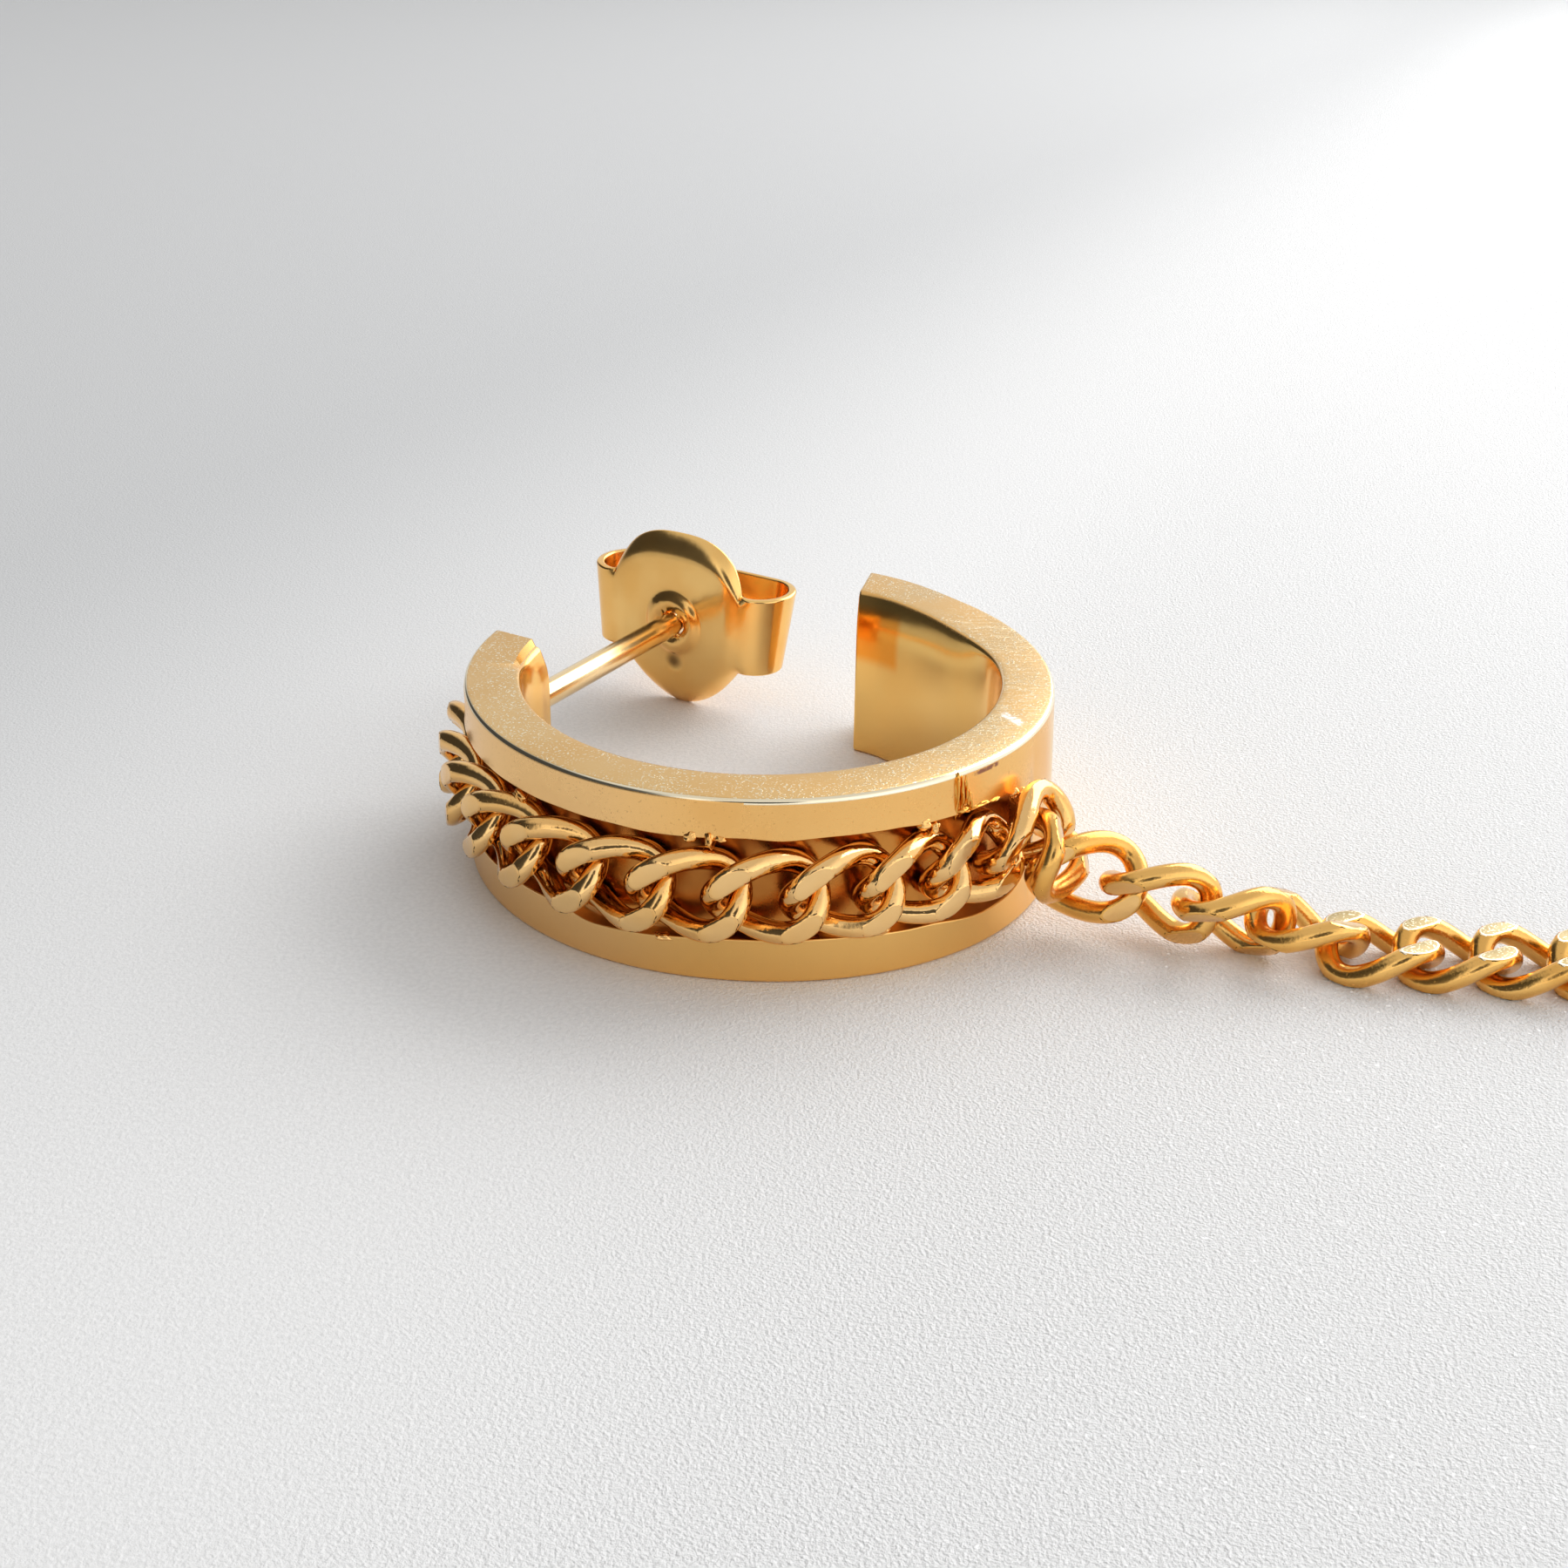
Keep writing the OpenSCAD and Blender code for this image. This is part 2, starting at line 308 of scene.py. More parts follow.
def scratched(bench, colour, rough, height):
    """Fine scratches at the right of the rim, and one pale rubbed mark."""
    turn, away, up = bench.round_the_band()
    right = turn.within(-48, 30, 14)
    for lean, count in ((0.5, 7.0), (1.1, 5.0), (-0.3, 6.0)):
        hairs = bench.specks(count, 1.0, bench.place((0.12, 2.6, 1), (0, 0, lean)))
        hair = hairs.step(0.62, 0.66) * (1 - hairs.step(0.66, 0.7)) * right
        colour = bench.mixed(hair * 0.55, colour, (1.0, 0.9, 0.64, 1))
        height = height - hair * 0.004
    slope = (turn + 25) * 0.142 + (away - 8.15) * 0.6
    rub = slope.within(-0.08, 0.08, 0.18) * away.within(7.85, 8.4, 0.22)
    rub = rub * bench.specks(9.0, 3.0).step(0.28, 0.55)
    colour = bench.mixed(rub * 0.95, colour, (0.95, 0.94, 0.93, 1))
    return colour, rough + rub * 0.2, height


wall_gold = gold(
    "satin_band_wall", (0.94, 0.55, 0.19), (0.91, 0.51, 0.165), 0.27, 0.07, 0.001, 6.0, 0.003,
    mark=painted_wall_light,
)
# The brushed rim carries painted glints.
rim_gold = gold(
    "brushed_rim", (0.80, 0.535, 0.235), (0.76, 0.48, 0.19), 0.34, 0.12, 0.004, 9.0,
    painted_glints=0.75, mark=scratched,
)
inside_gold = gold(
    "inside_of_band", (1.0, 0.63, 0.20), (1.0, 0.59, 0.17), 0.18, 0.06, 0.0006, 4.0,
    mark=painted_orange_reflection,
)
# The channel floor is painted a much darker brown than the wall: painted shade in the recess
# behind the chain.
channel_gold = gold(
    "channel_floor", (0.66, 0.28, 0.06), (0.46, 0.17, 0.035), 0.26, 0.12, 0.004, 5.0
)
# A near-white gold for the rim's top edges and the filed slope near the post: a painted highlight.
highlight_edge_gold = gold(
    "rim_edge_painted_highlight", (1.0, 0.90, 0.68), (0.98, 0.84, 0.58), 0.12, 0.04, 0.0004, 6.0
)

# The section's corners and how far each is rounded, from the inside of the lower rim on
low_edge, high_edge = band_w / 2 - channel_half, band_w / 2 + channel_half
CORNERS = [
    (inner_r, 0, 0.16),
    (band_r, 0, 0.16),
    (band_r, low_edge - 0.2, 0),
    (band_r + lip_burr, low_edge, 0.05),
    (channel_r, low_edge, 0.12),
    (channel_r, high_edge, 0.12),
    (band_r + lip_burr, high_edge, 0.05),
    (band_r, high_edge + 0.2, 0),
    (band_r, band_w, 0.15),
    (inner_r + filed_w, band_w, 0),
    (inner_r, band_w, 0.14),
    (inner_r, 5.4, 0),
    (inner_r, 5.2, 0),
    (inner_r, 4.9, 0),
    (inner_r, 4.5, 0),
    (inner_r, 4.1, 0),
]
band = bmesh.new()
section = [band.verts.new((r, 0, z)) for r, z, rounding in CORNERS]
band.faces.new(section)
for corner, (r, z, rounding) in zip(section, CORNERS):
    if rounding:
        bmesh.ops.bevel(
            band,
            geom=[corner],
            offset=rounding,
            offset_type="OFFSET",
            segments=4,
            profile=0.5,
            affect="VERTICES",
            material=-1,
        )
bmesh.ops.rotate(
    band, verts=band.verts, cent=(0, 0, 0), matrix=Matrix.Rotation(math.radians(post_end), 3, "Z")
)
bmesh.ops.spin(
    band,
    geom=band.verts[:] + band.edges[:] + band.faces[:],
    cent=(0, 0, 0),
    axis=(0, 0, 1),
    angle=math.radians(plain_end - post_end),
    steps=round((plain_end - post_end) / band_step),
    use_merge=False,
)
for v in band.verts:
    radius = math.hypot(v.co.x, v.co.y)
    angle = math.degrees(math.atan2(v.co.y, v.co.x))
    if angle < post_end - 1:
        angle += 360
    height = v.co.z
    off_middle = height - band_w / 2
    in_channel = abs(off_middle) < channel_half + 0.24 and radius > channel_r - 0.01
    # The milled channel has round ends, and past them the wall is whole
    start = (angle - channel_from) / channel_round
    stop = (channel_to - angle) / channel_round
    near = min(start, stop)
    if in_channel:
        half = math.sqrt(max(1 - (1 - min(max(near, 0), 1)) ** 2.4, 0.012))
        if off_middle > 0:
            off_middle += along(HIGH_LIP, angle) - high_edge
        else:
            off_middle += along(LOW_LIP, angle) - low_edge
        height = band_w / 2 + off_middle * half
        whole = 1 - eased(near, -0.02, 0.12)
        radius += (band_r - radius) * whole
    top = height / band_w
    outside = (radius - inner_r) / (band_r - inner_r)
    if radius < channel_r + 0.3 and in_channel:
        outside = 0
    if radius < inner_r + 0.2:
        worn = max(height - worn_from, 0) / (band_w - worn_from)
        radius -= worn_by * along(WORN, angle) * (1 - worn**worn_power)
        filed = 1 - eased(angle, filed_from, filed_to)
        height -= filed * filed_deep * eased(height, 4.6, 5.5)
    for centre, reach, high, low, inside in SWELLS:
        share = turned_by(angle, centre, reach)
        radius += share * outside * (high * top + low * (1 - top))
        radius += share * (1 - outside) * inside if not in_channel else 0
    at_post = 1 - eased(angle, post_end, post_end + slant_reach)
    at_plain = eased(angle, plain_end - slant_reach, plain_end)
    if at_post:
        angle += at_post * slant(radius, post_end, post_dir)
    if at_plain:
        angle += at_plain * slant(radius, plain_end, plain_facing)
    v.co = (
        radius * math.cos(math.radians(angle)),
        radius * math.sin(math.radians(angle)),
        height,
    )
end_edges = []
for end in (post_dir, plain_facing):
    facing = Vector((math.cos(math.radians(end)), math.sin(math.radians(end)), 0))
    band.normal_update()
    caps = [f for f in band.faces if len(f.verts) > 20 and abs(f.normal.dot(facing)) > 0.98]
    for cap in caps:
        end_edges += [e for e in cap.edges if e not in end_edges]
bmesh.ops.bevel(
    band,
    geom=end_edges,
    offset=0.07,
    offset_type="OFFSET",
    segments=3,
    profile=0.5,
    affect="EDGES",
    material=-1,
)
band.normal_update()
for f in band.faces:
    centre = f.calc_center_median()
    radius = math.hypot(centre.x, centre.y)
    outward = (f.normal.x * centre.x + f.normal.y * centre.y) / radius
    if abs(f.normal.z) > 0.93 and (centre.z < 0.3 or centre.z > band_w - 0.3):
        f.material_index = 1
    # The outer top edge and the inner top edge near the post take the painted highlight.
    elif centre.z > band_w - 0.25 and radius > mid_r and abs(f.normal.z) > 0.2:
        f.material_index = 4
    elif centre.z > band_w - 0.5 and radius < mid_r - 0.3 and f.normal.z > 0.5:
        f.material_index = 4
    elif abs(outward) > 0.7 and radius < mid_r - 0.4:
        f.material_index = 2
    elif radius < band_r - 0.15 and abs(centre.z - band_w / 2) < channel_half:
        f.material_index = 3 if len(f.verts) < 6 else 0
new_piece(
    "band", band, "earring",
    [wall_gold, rim_gold, inside_gold, channel_gold, highlight_edge_gold], ["hoop"],
)

# The ear post: a straight drawn wire, butt-soldered to the band's end face. The solder has run
# into a small cone round its root, the tip is rounded, and a groove near it stops the nut.
post_r = 0.425
post_l = 11.3
post_z = 3.15
POST_PROFILE = [
    (0.70, -0.5), (0.70, 0.02), (0.62, 0.1), (0.53, 0.2), (0.47, 0.33), (0.435, 0.47),
    (post_r, 0.62), (post_r, 9.45), (0.385, 9.58), (0.385, 9.82), (post_r, 9.95),
    (post_r, 10.9), (0.40, 11.08), (0.34, 11.2), (0.22, 11.28), (0.0, post_l),
]
post_frame = (
    Matrix.Translation(
        (
            mid_r * math.cos(math.radians(post_end)),
            mid_r * math.sin(math.radians(post_end)),
            post_z,
        )
    )
    @ Matrix.Rotation(math.radians(post_dir), 4, "Z")
    @ Matrix.Rotation(math.radians(90), 4, "Y")
)


def lathed(profile, steps=64):
    """A turned form from radius and height pairs, round its own Z axis."""
    form = bmesh.new()
    line = [form.verts.new((r, 0, z)) for r, z in profile]
    for below, above in zip(line, line[1:]):
        form.edges.new((below, above))
    bmesh.ops.spin(
        form,
        geom=form.verts[:] + form.edges[:],
        cent=(0, 0, 0),
        axis=(0, 0, 1),
        angle=math.tau,
        steps=steps,
        use_merge=True,
    )
    bmesh.ops.remove_doubles(form, verts=form.verts, dist=1e-4)
    return form


post_gold = gold(
    "drawn_post", (0.97, 0.74, 0.42), (0.94, 0.68, 0.33), 0.20, 0.05, 0.0006, 6.0
)
post = lathed(POST_PROFILE)
bmesh.ops.holes_fill(post, edges=post.edges, sides=100)
post.transform(post_frame)
new_piece("ear_post", post, "earring", [post_gold])

# The solder that holds the chain in its channel: small beads on the channel's two edges, and
# thin strings and a run of melted metal at the right. Each froze as a soft uneven drop.
solder_gold = gold(
    "solder_drops", (0.93, 0.55, 0.20), (0.88, 0.44, 0.12), 0.10, 0.08, 0.004, 3.0
)
string_gold = gold(
    "melted_strings", (0.82, 0.42, 0.09), (0.66, 0.27, 0.05), 0.16, 0.1, 0.006, 6.0
)
first_string = 10
drop_unevenness = 0.35
drop_sunk = 0.3
# Direction, height, size along the edge, out of the wall and up
DROPS = [
    (-139, 4.2, 0.26, 0.2, 0.2),
    (-101.5, 4.48, 0.2, 0.2, 0.16),
    (-98, 4.42, 0.16, 0.26, 0.26),
    (-96.2, 4.5, 0.2, 0.16, 0.1),
    (-59, 4.4, 0.24, 0.18, 0.16),
    (-57, 4.24, 0.16, 0.2, 0.2),
    (-36, 4.22, 0.2, 0.16, 0.14),
    (-33, 4.05, 0.2, 0.16, 0.16),
    (-106.8, 1.23, 0.28, 0.14, 0.12),
    (-67.3, 1.4, 0.26, 0.14, 0.12),
    (-52.1, 4.98, 0.08, 0.16, 0.64),
    (-51.1, 4.9, 0.07, 0.2, 0.56),
    (-50.1, 5.06, 0.07, 0.17, 0.42),
    (-49.2, 4.72, 0.09, 0.17, 0.36),
    (-50.4, 4.5, 0.32, 0.16, 0.11),
    (-46.4, 4.46, 0.4, 0.13, 0.07),
    (-42.6, 4.42, 0.3, 0.12, 0.06),
]
for count, (direction, height, wide, out, up) in enumerate(DROPS):
    drop = bmesh.new()
    bmesh.ops.create_icosphere(drop, subdivisions=4, radius=1.0)
    for v in drop.verts:
        uneven = noise.noise(v.co * 1.4 + Vector((count * 3.1, 0, 0)))
        v.co *= 1 + drop_unevenness * uneven
    bmesh.ops.scale(drop, verts=drop.verts, vec=(out, wide, up))
    sunk = band_r - drop_sunk * out
    for centre, reach, high, low, inside in SWELLS:
        top = height / band_w
        sunk += turned_by(direction, centre, reach) * (high * top + low * (1 - top))
    bmesh.ops.translate(drop, verts=drop.verts, vec=(sunk, 0, height))
    drop.transform(Matrix.Rotation(math.radians(direction), 4, "Z"))
    finish = string_gold if count >= first_string else solder_gold
    new_piece(f"solder_drop_{count + 1:02d}", drop, "earring", [finish])

# The curb chain: 21 links of round wire, each twisted a quarter and then filed flat on both
# faces, so that every strand carries bright oval facets. Eleven links sit tight in the channel,
# the next ones leave it and twist down to the surface, and the last four lie in a flat row.
link_wire = 0.66
link_half_l = 1.47
link_half_w = 1.04
link_twist = 0.46
link_thick = 1.24
link_pitch = 2.13
chain_r = 9.18
link_step = 13.3241
leave_angle = -48.3
tight_links = 11
row_links = 4
wire_sides = 24
loop_sides = 96
facet_edge = 0.05

# Middle in X and Y from the last tight link, height, heading, climb and roll in degrees
ROUTE = [
    (1.55, 1.05, 3.14, 40, 19, 108),
    (2.4, 1, 2.63, 77, -7, 66),
    (3.4, 0.85, 1.91, -3, 0, 83),
    (5.45, 0.3, 1.58, -19, -8, 116),
    (7.45, -0.35, 1.36, -6, -11, 130),
    (9.55, -0.5, 1.09, -13, -11, 167),
    (11.55, -1, 0.64, -7.5, 0, 0),
]

link_form = bmesh.new()
ring_r = 2 * link_wire
bmesh.ops.create_circle(link_form, segments=wire_sides, radius=link_wire / 2)
link_form.transform(Matrix.Translation((ring_r, 0, 0)) @ Matrix.Rotation(math.radians(90), 4, "X"))
bmesh.ops.spin(
    link_form,
    geom=link_form.verts[:] + link_form.edges[:],
    cent=(0, 0, 0),
    axis=(0, 0, 1),
    angle=math.tau,
    steps=loop_sides,
    use_merge=True,
)
bmesh.ops.remove_doubles(link_form, verts=link_form.verts, dist=1e-4)
for v in link_form.verts:
    turn = math.atan2(v.co.y, v.co.x)
    outward = math.hypot(v.co.x, v.co.y) - ring_r
    upward = v.co.z
    middle = Vector(
        (
            link_half_l * math.cos(turn),
            link_half_w * math.sin(turn),
            -link_twist * math.sin(2 * turn),
        )
    )
    forward = Vector(
        (
            -link_half_l * math.sin(turn),
            link_half_w * math.cos(turn),
            -2 * link_twist * math.cos(2 * turn),
        )
    ).normalized()
    side = forward.cross(Vector((0, 0, 1))).normalized()
    v.co = middle + side * outward + side.cross(forward) * upward
for face in (1, -1):
    cut = bmesh.ops.bisect_plane(
        link_form,
        geom=link_form.verts[:] + link_form.edges[:] + link_form.faces[:],
        dist=1e-6,
        plane_co=(0, 0, face * link_thick / 2),
        plane_no=(0, 0, face),
        clear_outer=True,
    )
    cut_edges = [e for e in cut["geom_cut"] if isinstance(e, bmesh.types.BMEdge)]
    bmesh.ops.remove_doubles(
        link_form, verts=list({v for e in cut_edges for v in e.verts}), dist=0.012
    )
    bmesh.ops.holes_fill(link_form, edges=link_form.edges, sides=200)
bmesh.ops.recalc_face_normals(link_form, faces=link_form.faces)
facets = [f for f in link_form.faces if len(f.verts) > 6]
bmesh.ops.bevel(
    link_form,
    geom=list({e for f in facets for e in f.edges}),
    offset=facet_edge,
    offset_type="OFFSET",
    segments=2,
    profile=0.5,
    affect="EDGES",
    material=-1,
)

# The soldered links are paler than the free ones. On the flat row the facets are left as filed,
# with a fine grain carrying painted glints, and each facet has a thin near-white edge: a painted
# highlight.
chain_gold = gold(
    "polished_chain", (0.95, 0.60, 0.25), (0.91, 0.52, 0.17), 0.11, 0.06, 0.016, 2.4, 0.002
)
free_gold = gold(
    "free_chain", (0.93, 0.54, 0.16), (0.87, 0.46, 0.11), 0.21, 0.10, 0.006, 9.0, 0.003
)
facet_gold = gold(
    "filed_facets", (0.95, 0.62, 0.27), (0.91, 0.54, 0.19), 0.12, 0.08, 0.03, 1.6
)
grainy_gold = gold(
    "grainy_facets", (0.48, 0.38, 0.20), (0.40, 0.30, 0.14), 0.5, 0.12, 0.008, 11.0, painted_glints=0.8
)
# Painted highlight: the flat row's facet edges are near white.
rim_highlight_gold = gold(
    "facet_edges", (1.0, 0.90, 0.70), (1.0, 0.84, 0.58), 0.30, 0.06, 0.001, 6.0
)
link_form.normal_update()
for f in link_form.faces:
    on_face = abs(abs(f.calc_center_median().z) - link_thick / 2) < 0.02
    f.material_index = 1 if len(f.verts) > 6 else (2 if on_face else 0)


def link_pose(x, y, z, heading, climb, roll):
    return (
        Matrix.Translation((x, y, z))
        @ Matrix.Rotation(math.radians(heading), 4, "Z")
        @ Matrix.Rotation(math.radians(-climb), 4, "Y")
        @ Matrix.Rotation(math.radians(roll), 4, "X")
    )


link_poses = []
for i in range(tight_links):
    at = leave_angle - (tight_links - 1 - i) * link_step
    x, y = chain_r * math.cos(math.radians(at)), chain_r * math.sin(math.radians(at))
    link_poses.append(link_pose(x, y, band_w / 2, at + 90, 0, 90))
for east, north, height, heading, climb, roll in ROUTE:
    link_poses.append(link_pose(x + east, y + north, height, heading, climb, roll))
for i in range(1, row_links):
    ahead = i * link_pitch
    link_poses.append(
        link_pose(
            x + east + ahead * math.cos(math.radians(heading)),
            y + north + ahead * math.sin(math.radians(heading)),
            height, heading, climb, roll,
        )
    )
for count, pose in enumerate(link_poses):
    link = link_form.copy()
    link.transform(pose)
    wire = chain_gold if count <= tight_links else free_gold
    facet, edge = facet_gold, wire
    if count >= len(link_poses) - row_links:
        facet, edge = grainy_gold, rim_highlight_gold
    new_piece(
        f"curb_link_{count + 1:02d}", link, "earring",
        [wire, facet, edge], [f"link_{count + 1:02d}"], sharp=30,
    )
link_form.free()

# The ear nut: one piece of thin springy sheet, stamped to an oval plate with two tongues. The
# plate's rim is curled back, a raised ring stands round its hole, and the tongues turn back
# behind it in two scrolls, whose ends grip the post.
nut_at = 8.9
nut_sheet = 0.28
plate_h, plate_w = 6.2, 5.2
rim_curl, curl_from = 0.40, 0.77
plate_bow = 0.16
scroll_cone = 0.16
ring_rise = 0.2
ring_middle, ring_reach = 0.8, 0.34
hole_r = post_r + 0.06
dent_down = 1.45
scroll_r = 0.98
scroll_out = 2.7
scroll_h = 2.8
grip_r = 0.5
grip_out = hole_r + nut_sheet / 2 + grip_r
fillet = 0.7
cuts_along, cuts_across = 170, 44
# How full the plate's outline is, above and below the tongues: 2 is an ellipse
full_above, full_below = 2.7, 1.8
scroll_arc = math.pi * scroll_r
return_run = scroll_out - grip_out
tongue_end = scroll_out + scroll_arc + return_run + math.pi / 2 * grip_r
nut_frame = post_frame @ Matrix.Translation((0, 0, nut_at))


def sheet_line(run, across):
    """How far out from the post and how far back the sheet's middle lies, along a tongue. The
    scroll is a little wider at its upper edge."""
    if run < scroll_out:
        return run, 0
    wide = scroll_r * (1 + scroll_cone * across)
    turn = (run - scroll_out) / scroll_r
    if turn < math.pi:
        return scroll_out + wide * math.sin(turn), wide * (1 - math.cos(turn))
    back = run - scroll_out - scroll_arc
    if back < return_run:
        return scroll_out - back, 2 * wide
    turn = (back - return_run) / grip_r
    return grip_out - grip_r * math.sin(turn), 2 * wide - grip_r * (1 - math.cos(turn))


def sheet_half(run, full):
    """Half the sheet's height: the plate's outline, run into the tongue in a hollow curve."""
    share = min(run / (plate_w / 2), 1)
    plate = plate_h / 2 * (1 - share**full) ** (1 / full)
    tongue = scroll_h / 2
    spare = tongue_end - run
    if spare < 0.4:
        tongue *= 0.6 + 0.4 * math.sqrt(1 - (1 - spare / 0.4) ** 2)
    return max(plate, tongue) + max(fillet - abs(plate - tongue), 0) ** 2 / (4 * fillet)


def darkened_round_hole(bench, colour, rough, height):
    """Darker orange-brown round the nut's hole, and a small dent below it with painted shade in
    it.
    """
    spot = bench.node("TexCoord", {}, {}, out=3)
    marks = []
    for down in (0, dent_down):
        at = band_axis + (nut_frame @ Vector((down, 0, 0))) * mm
        far = bench.node("VectorMath", {"operation": "DISTANCE"}, {0: spot, 1: at}, out=1)
        marks.append(far * 1000)
    hole_darkening = 1 - marks[0].step(0.7, 1.9)
    shaded_dent = 1 - marks[1].step(0.1, 0.45)
    colour = bench.mixed(hole_darkening * 0.4, colour, (0.72, 0.32, 0.07, 1))
    # Painted shade: the dent is coloured almost black.
    colour = bench.mixed(shaded_dent * 0.85, colour, (0.10, 0.05, 0.02, 1))
    return colour, rough, height - shaded_dent * 0.06


nut_gold = gold(
    "stamped_nut", (1.0, 0.63, 0.22), (0.96, 0.53, 0.15), 0.2, 0.08, 0.006, 2.0, mark=darkened_round_hole
)
nut = bmesh.new()
bmesh.ops.create_grid(nut, x_segments=cuts_along, y_segments=cuts_across, size=1.0)
around_hole = []
inside_hole = []
for v in nut.verts:
    run = abs(v.co.x) * tongue_end
    full = full_above if v.co.y > 0 else full_below
    up = v.co.y * sheet_half(run, full)
    out, back = sheet_line(run, v.co.y)
    from_hole = math.hypot(run, up)
    on_plate = 1 - eased(run, 2.0, 3.0)
    to_rim = max(abs(v.co.y) - curl_from, 0) / (1 - curl_from)
    back += on_plate * (rim_curl * to_rim**2 - plate_bow * (1 - v.co.y**2))
    back -= ring_rise * eased(1 - abs(from_hole - ring_middle) / ring_reach, 0, 1)
    if from_hole < hole_r * 0.98:
        inside_hole.append(v)
    elif from_hole < hole_r + 0.26:
        around_hole.append(v)
    # The frame's X axis points down, and its Y axis to the right of the post
    v.co = (-up, math.copysign(out, v.co.x), back + nut_sheet / 2)
bmesh.ops.delete(nut, geom=inside_hole, context="VERTS")
for v in around_hole:
    if v.is_boundary:
        from_hole = math.hypot(v.co.x, v.co.y)
        v.co.x *= hole_r / from_hole
        v.co.y *= hole_r / from_hole
bmesh.ops.recalc_face_normals(nut, faces=nut.faces)
nut.normal_update()
for v in nut.verts:
    v.co += v.normal * nut_sheet / 2
bmesh.ops.solidify(nut, geom=nut.faces[:], thickness=nut_sheet)
nut.normal_update()
sheet_edges = [
    e for e in nut.edges if len(e.link_faces) == 2 and e.calc_face_angle(0) > math.radians(60)
]
bmesh.ops.bevel(
    nut, geom=sheet_edges, offset=0.08, offset_type="OFFSET", segments=3, profile=0.5,
    affect="EDGES", material=-1,
)
nut.transform(nut_frame)
new_piece("butterfly_nut", nut, "nut", [nut_gold], ["ear_nut"], sharp=50)

# The surface that the earring lies on: pale matt paper with a gritty tooth, a few painted sparkles
# that glow, and painted shade towards the back left; coarser to the right and in front, and larger
# than the picture on every side.
floor_size = 3.0
paper = bpy.data.materials.new("pale_paper")
paper.use_nodes = True
bench = Bench(paper.node_tree)
tooth = bench.specks(7.0, 5.0)
lit = bench.mixed(tooth.step(0.3, 0.7), (0.845, 0.843, 0.84, 1), (0.92, 0.918, 0.915, 1))
x, y, z = (bench.node("SeparateXYZ", {}, {0: bench.place()}, out=i) for i in range(3))
# Painted sparkles: specks towards the right and front, mixed towards white and made to glow.
painted_glints = bench.specks(6.0, 1.0).step(0.7, 0.76) * (x - y * 0.2).step(-2, 9)
lit = bench.mixed(painted_glints * 0.8, lit, (1.0, 1.0, 1.0, 1))
# Painted shade: the paper turns darker towards the back left, standing in for the softbox's light
# falling off.
shade = 1 - (x * 0.9 - y * 0.52).step(-49, -8)
tone = bench.mixed(shade, lit, (0.60, 0.605, 0.61, 1))
coarse = 0.3 + 0.7 * (x - y * 0.3).step(-12, 5)
relief = (tooth * 0.05 + bench.specks(12.0, 3.0) * 0.06) * coarse
bump = bench.node("Bump", {}, {"Strength": 1.0, "Distance": mm, "Height": relief})
sheet = bench.node(
    "BsdfPrincipled",
    {},
    {
        "Base Color": tone,
        "Roughness": 0.7,
        "Normal": bump,
        "Emission Color": bench.mixed(painted_glints, (0, 0, 0, 1), (1, 1, 1, 1)),
        "Emission Strength": 0.3,
    },
)
bench.node("OutputMaterial", {}, {"Surface": sheet})
ground = bmesh.new()
bmesh.ops.create_grid(ground, x_segments=4, y_segments=4, size=floor_size)
ground_mesh = bpy.data.meshes.new("floor")
ground.to_mesh(ground_mesh)
ground.free()
ground_mesh.materials.append(paper)
floor = bpy.data.objects.new("floor", ground_mesh)
bpy.context.scene.collection.objects.link(floor)

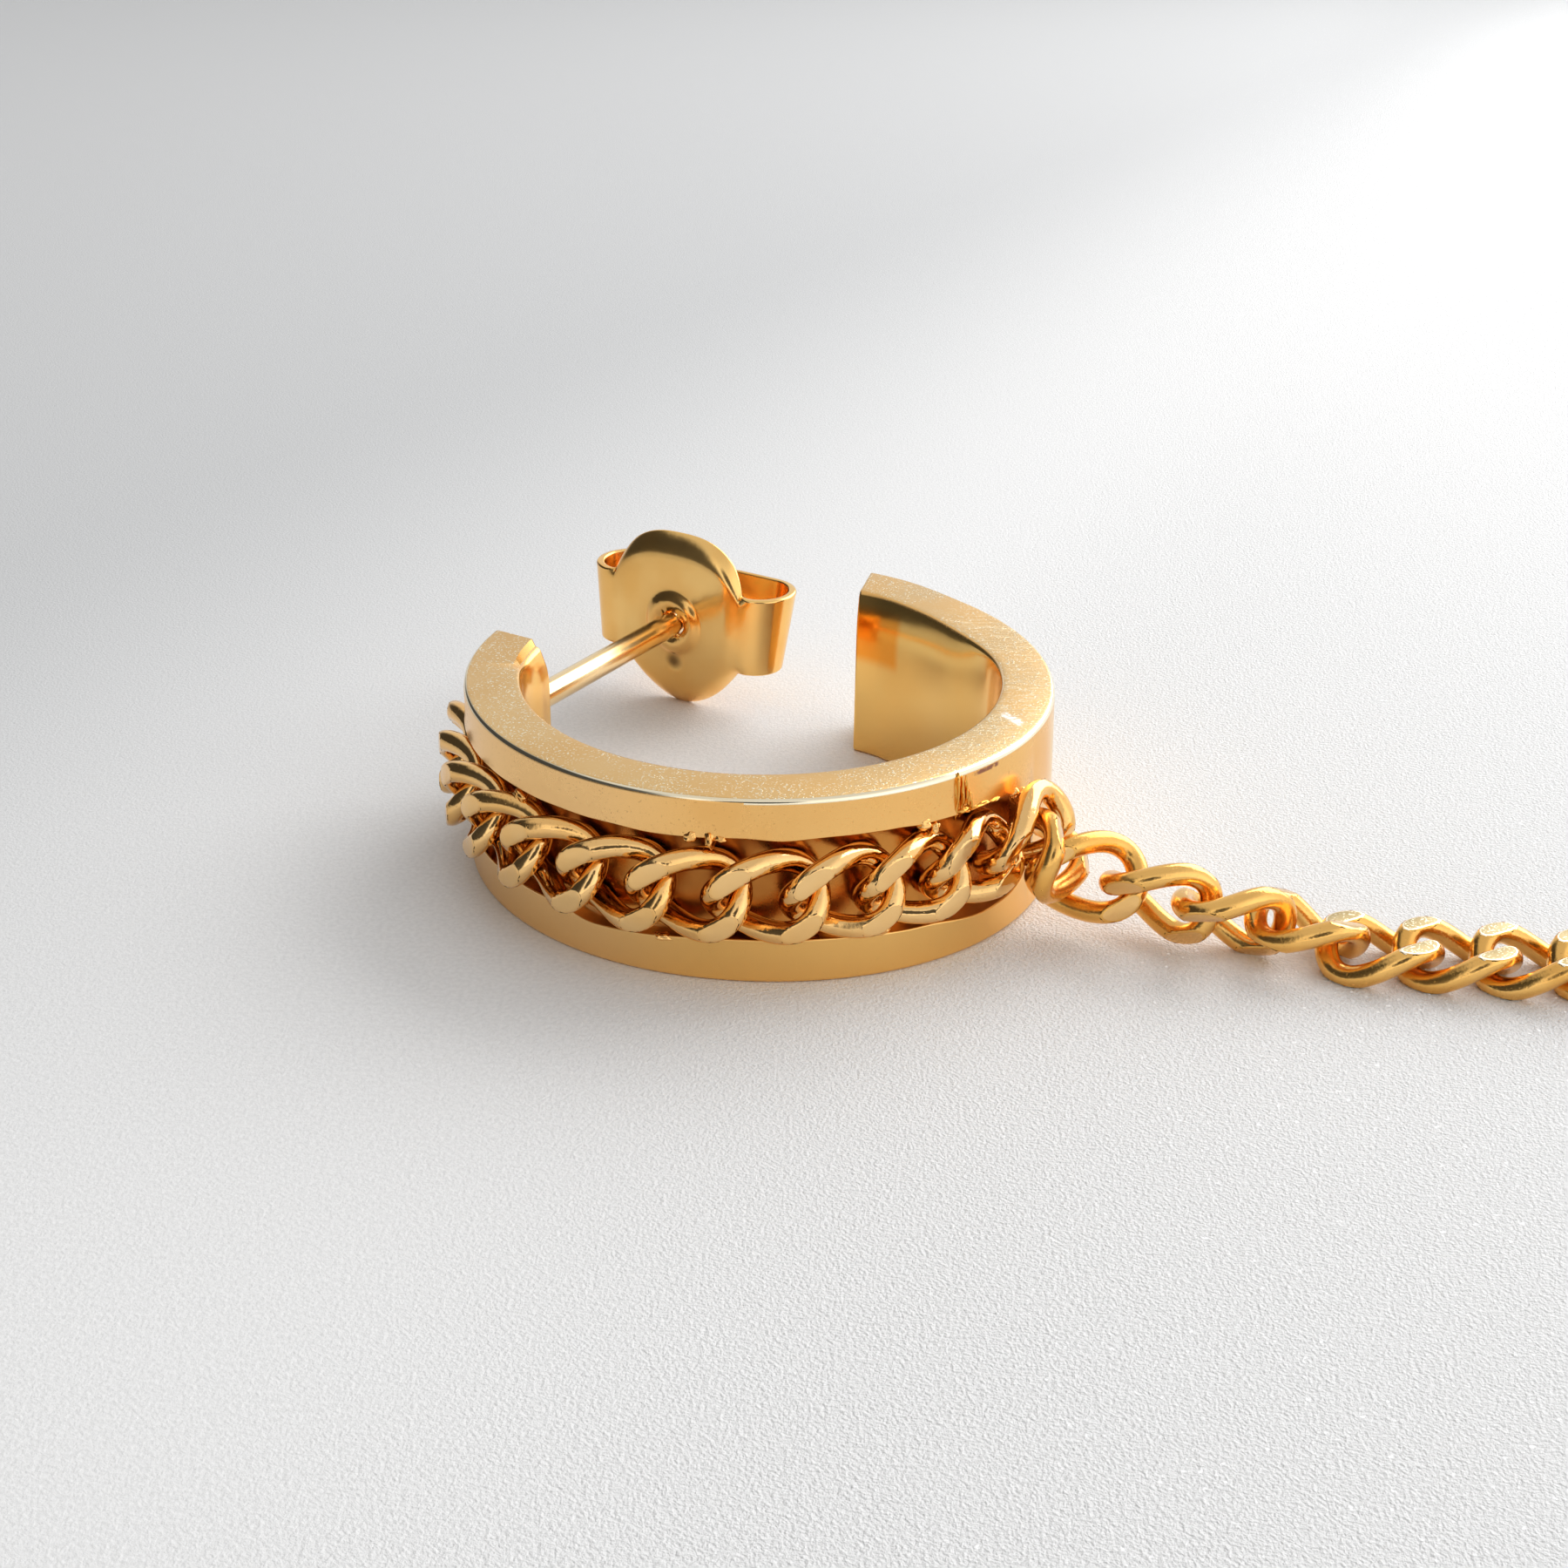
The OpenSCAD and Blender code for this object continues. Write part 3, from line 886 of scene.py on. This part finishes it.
# The light: a window-sized softbox behind on the right, in a pale room that is dark to the left
# and has a dark round gap where the camera looks in.
world = bpy.data.worlds.new("studio")
bpy.context.scene.world = world
world.use_nodes = True
sky = Bench(world.node_tree)
way = sky.node("TexCoord", {}, {}, out=0)
east, north, up = (sky.node("SeparateXYZ", {}, {0: way}, out=i) for i in range(3))
glow = 0.7 + 0.1 * north.step(0.45, 0.85) + 0.4 * east.step(0.35, 0.9)
glow = glow + 0.45 * (0 - north).step(0.1, 0.7) * (1 - up.step(0.5, 0.9))
dark_left = (0 - east).step(0.35, 0.62) * (1 - up.step(0.72, 0.88)) * up.step(-0.02, 0.04)
glow = glow * (1 - 0.92 * dark_left)
to_lens = sky.node(
    "VectorMath", {"operation": "DOT_PRODUCT"}, {0: way, 1: (0.0, -0.9, 0.436)}, out=1
)
glow = glow * (1 - 0.92 * to_lens.step(0.95, 0.975))
shine = sky.node("Background", {}, {"Color": (1, 1, 1, 1), "Strength": glow})
sky.node("OutputWorld", {}, {"Surface": shine})

softbox_radiance = 3.0
softbox_w, softbox_h = 0.25, 0.2
key_data = bpy.data.lights.new("softbox", "AREA")
key_data.shape = "RECTANGLE"
key_data.size = softbox_w
key_data.size_y = softbox_h
key_data.energy = softbox_radiance * math.pi * softbox_w * softbox_h
key = bpy.data.objects.new("softbox", key_data)
key.location = band_axis + Vector((0.16, 0.145, 0.135))
key.rotation_euler = (band_axis - key.location).to_track_quat("-Z", "Y").to_euler()
key.visible_camera = False
bpy.context.scene.collection.objects.link(key)

# The camera, where the photograph was taken from: in front, 26 degrees above the surface
camera_down = math.radians(25.871)
camera_roll = math.radians(0.757)
camera_at = band_axis + Vector((0.744, -62.547, 32.162)) * mm
right = Vector((1, 0, 0))
upward = Vector((0, math.sin(camera_down), math.cos(camera_down)))
ahead = Vector((0, math.cos(camera_down), -math.sin(camera_down)))
axes = Matrix(
    (
        math.cos(camera_roll) * right + math.sin(camera_roll) * upward,
        math.cos(camera_roll) * upward - math.sin(camera_roll) * right,
        -ahead,
    )
).transposed()
camera_data = bpy.data.cameras.new("camera")
camera_data.sensor_width = 36.0
camera_data.lens = 51.057
camera_data.clip_start = 0.001
camera_data.clip_end = 10.0
camera = bpy.data.objects.new("camera", camera_data)
camera.matrix_world = Matrix.Translation(camera_at) @ axes.to_4x4()
bpy.context.scene.collection.objects.link(camera)
bpy.context.scene.camera = camera
bpy.context.scene.view_settings.view_transform = "Standard"

# Both boxes are kept: the replaced CAD parts stay in the scene, only hidden.
bpy.context.view_layer.update()
